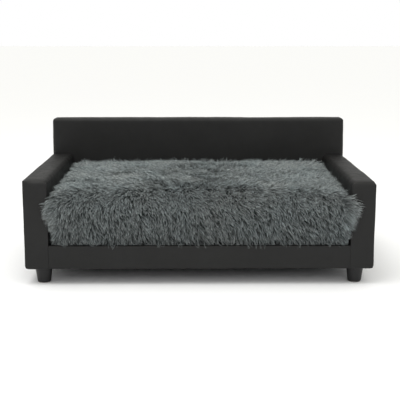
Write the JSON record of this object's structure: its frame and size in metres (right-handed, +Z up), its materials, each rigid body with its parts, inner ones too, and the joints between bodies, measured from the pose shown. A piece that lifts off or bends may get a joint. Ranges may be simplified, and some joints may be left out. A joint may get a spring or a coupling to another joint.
{
  "type": "dog bed with frame",
  "caption": "Low upholstered dog sofa with a backrest, slim arms, a front rail and tapered feet, holding a thick lift-out faux-fur cushion.",
  "frame": {"origin": "on the floor under the middle of the bed's outline, which runs from the arm fronts to the back of the backrest", "axes": "+X across the bed to the right seen from the front, +Y from the front to the backrest, +Z up"},
  "size_m": [1.1, 0.7, 0.468],
  "materials": {
    "leather_look_cover": "satin",
    "wadding": "matte",
    "plywood": "matte",
    "timber": "matte",
    "zinc_steel": "satin",
    "foot_plastic": "satin",
    "felt": "matte",
    "black_cloth": "matte",
    "foam": "matte",
    "liner_cloth": "matte",
    "faux_fur": "matte",
    "zip_tape": "matte",
    "zip_teeth": "satin",
    "zip_metal": "satin"
  },
  "bodies": {
    "frame": {"back_cover": "leather_look_cover", "back_wadding": "wadding", "back_front_board": "plywood", "back_rear_board": "plywood", "back_top_rail": "timber", "back_bottom_rail": "timber", "back_posts": "timber", "arm_cover_left": "leather_look_cover", "arm_wadding_left": "wadding", "arm_outer_board_left": "plywood", "arm_inner_board_left": "plywood", "arm_top_rail_left": "timber", "arm_bottom_rail_left": "timber", "arm_posts_left": "timber", "arm_cover_right": "leather_look_cover", "arm_wadding_right": "wadding", "arm_outer_board_right": "plywood", "arm_inner_board_right": "plywood", "arm_top_rail_right": "timber", "arm_bottom_rail_right": "timber", "arm_posts_right": "timber", "front_rail_cover": "leather_look_cover", "front_rail_wadding": "wadding", "front_rail_board": "timber", "deck_ledger_left": "timber", "deck_ledger_right": "timber", "deck_ledger_front": "timber", "deck_ledger_back": "timber", "deck_crossbars": "timber", "deck_board": "plywood", "deck_cloth": "black_cloth", "ledger_screws": "zinc_steel", "deck_screws": "zinc_steel", "carcass_screws": "zinc_steel", "foot_front_left": "foot_plastic", "foot_front_right": "foot_plastic", "foot_rear_left": "foot_plastic", "foot_rear_right": "foot_plastic", "foot_studs": "zinc_steel", "foot_tee_nuts": "zinc_steel", "foot_glides": "felt", "dust_cloth": "black_cloth", "dust_cloth_staples": "zinc_steel"},
    "cushion": {"cushion_foam": "foam", "foam_liner": "liner_cloth", "fur_cover": "faux_fur", "cushion_base_cloth": "black_cloth", "zip_tapes": "zip_tape", "zip_teeth": "zip_teeth", "zip_end_stops": "zinc_steel"},
    "zip_slider": {"zip_slider": "zip_metal"},
    "zip_pull": {"zip_pull": "zip_metal"}
  },
  "joints": [
    {"name": "cushion_lift", "type": "slide", "parent": "frame", "child": "cushion", "axis": [0, 0, 1], "range_m": [0, 0.4]},
    {"name": "zip_slider_run", "type": "slide", "parent": "cushion", "child": "zip_slider", "axis": [1, 0, 0], "range_m": [-0.588, 0]},
    {"name": "zip_pull_swing", "type": "hinge", "parent": "zip_slider", "child": "zip_pull", "pos_m": [0.2945, 0.272, 0.1538], "axis": [0, 1, 0], "range_deg": [-80, 80]}
  ]
}
